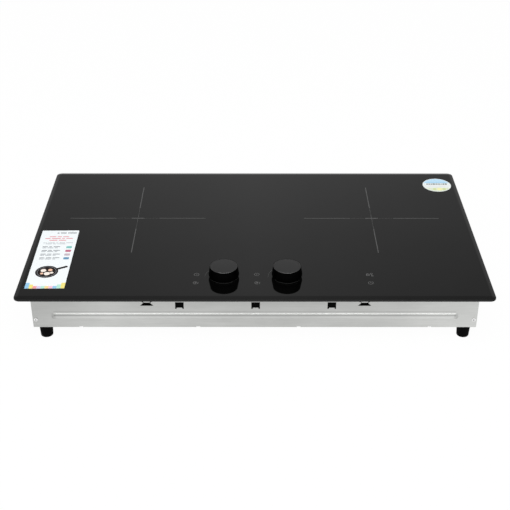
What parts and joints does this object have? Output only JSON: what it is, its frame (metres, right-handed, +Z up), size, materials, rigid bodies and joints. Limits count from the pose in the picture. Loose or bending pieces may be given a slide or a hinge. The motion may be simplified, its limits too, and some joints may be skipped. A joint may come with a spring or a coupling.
{
  "type": "induction cooktop",
  "caption": "Low rectangular two-zone induction cooktop with a bevelled black glass top, folded steel housing, rubber feet and lift-off magnetic control knobs.",
  "frame": {"origin": "centre of the footprint, on the plane that the feet stand on", "axes": "+X to the user's right, +Y to the rear, +Z up"},
  "size_m": [0.591, 0.348, 0.0883],
  "materials": {
    "ceramic_glass": "gloss black ceramic glass",
    "black_rubber": "matt",
    "sheet_steel": "galvanised sheet, faint grain",
    "fastener_steel": "zinc plated",
    "aluminium_sheet": "mill finish",
    "heat_sink_aluminium": "extruded",
    "black_plastic": "moulded, fine texture",
    "ferrite": "matt sintered",
    "copper_litz": "enamelled copper litz",
    "mica": "pressed mica",
    "white_silicone": "soft silicone",
    "wire_insulation": "silicone insulation",
    "circuit_board": "green solder mask",
    "capacitor_shell": "moulded box",
    "brass_posts": "turned",
    "terminal_plastic": "moulded",
    "magnet": "nickel plated",
    "clear_guide": "clear acrylic",
    "knob_black": "satin black",
    "knob_top": "dark satin metal"
  },
  "bodies": {
    "cooktop": {"glass_top": "ceramic_glass", "glass_seal": "black_rubber", "housing_tray": "sheet_steel", "side_panel_left": "sheet_steel", "side_panel_right": "sheet_steel", "front_glass_rail": "sheet_steel", "rear_glass_rail": "sheet_steel", "corner_screws": "fastener_steel", "foot_front_left": "black_rubber", "foot_front_right": "black_rubber", "foot_rear_left": "black_rubber", "foot_rear_right": "black_rubber", "foot_screws": "fastener_steel", "foot_nuts": "fastener_steel", "coil_shelf_left": "aluminium_sheet", "coil_shelf_right": "aluminium_sheet", "shelf_screws": "fastener_steel", "carrier_springs": "fastener_steel", "coil_carrier_left": "black_plastic", "coil_carrier_right": "black_plastic", "ferrite_bars": "ferrite", "coil_winding_left": "copper_litz", "coil_winding_right": "copper_litz", "mica_sheets": "mica", "coil_sensor_left": "white_silicone", "coil_sensor_right": "white_silicone", "coil_leads": "wire_insulation", "power_board_left": "circuit_board", "power_board_right": "circuit_board", "heat_sink_left": "heat_sink_aluminium", "heat_sink_right": "heat_sink_aluminium", "power_transistors": "black_plastic", "film_capacitors": "capacitor_shell", "board_standoffs": "brass_posts", "board_screws": "fastener_steel", "filter_board": "circuit_board", "mains_choke": "copper_litz", "filter_capacitors": "capacitor_shell", "terminal_block": "terminal_plastic", "cable_gland": "black_plastic", "gland_nut": "black_plastic", "internal_wires": "wire_insulation", "fan_frame_left": "black_plastic", "fan_frame_right": "black_plastic", "control_housing": "black_plastic", "control_board": "circuit_board", "touch_pads": "black_rubber", "knob_anchor_magnets": "magnet", "light_guides": "clear_guide", "control_ribbon": "terminal_plastic"},
    "fan_rotor_left": {"fan_impeller_left": "black_plastic"},
    "fan_rotor_right": {"fan_impeller_right": "black_plastic"},
    "knob_glide_left": {"knob_base_left": "knob_black", "knob_magnet_left": "magnet"},
    "knob_turner_left": {"knob_shell_left": "knob_black", "knob_cap_left": "knob_top"},
    "knob_glide_right": {"knob_base_right": "knob_black", "knob_magnet_right": "magnet"},
    "knob_turner_right": {"knob_shell_right": "knob_black", "knob_cap_right": "knob_top"}
  },
  "joints": [
    {"name": "fan_spin_left", "type": "hinge", "parent": "cooktop", "child": "fan_rotor_left", "pos_m": [-0.208, -0.1085, 0.035], "axis": [0, 0, 1], "continuous": true},
    {"name": "fan_spin_right", "type": "hinge", "parent": "cooktop", "child": "fan_rotor_right", "pos_m": [0.208, -0.1085, 0.035], "axis": [0, 0, 1], "continuous": true},
    {"name": "knob_lift_left", "type": "slide", "parent": "cooktop", "child": "knob_glide_left", "axis": [0, 0, 1], "range_m": [0, 0.06]},
    {"name": "knob_turn_left", "type": "hinge", "parent": "knob_glide_left", "child": "knob_turner_left", "pos_m": [-0.0391, -0.1217, 0.073], "axis": [0, 0, 1], "continuous": true},
    {"name": "knob_lift_right", "type": "slide", "parent": "cooktop", "child": "knob_glide_right", "axis": [0, 0, 1], "range_m": [0, 0.06]},
    {"name": "knob_turn_right", "type": "hinge", "parent": "knob_glide_right", "child": "knob_turner_right", "pos_m": [0.0403, -0.1217, 0.073], "axis": [0, 0, 1], "continuous": true}
  ]
}
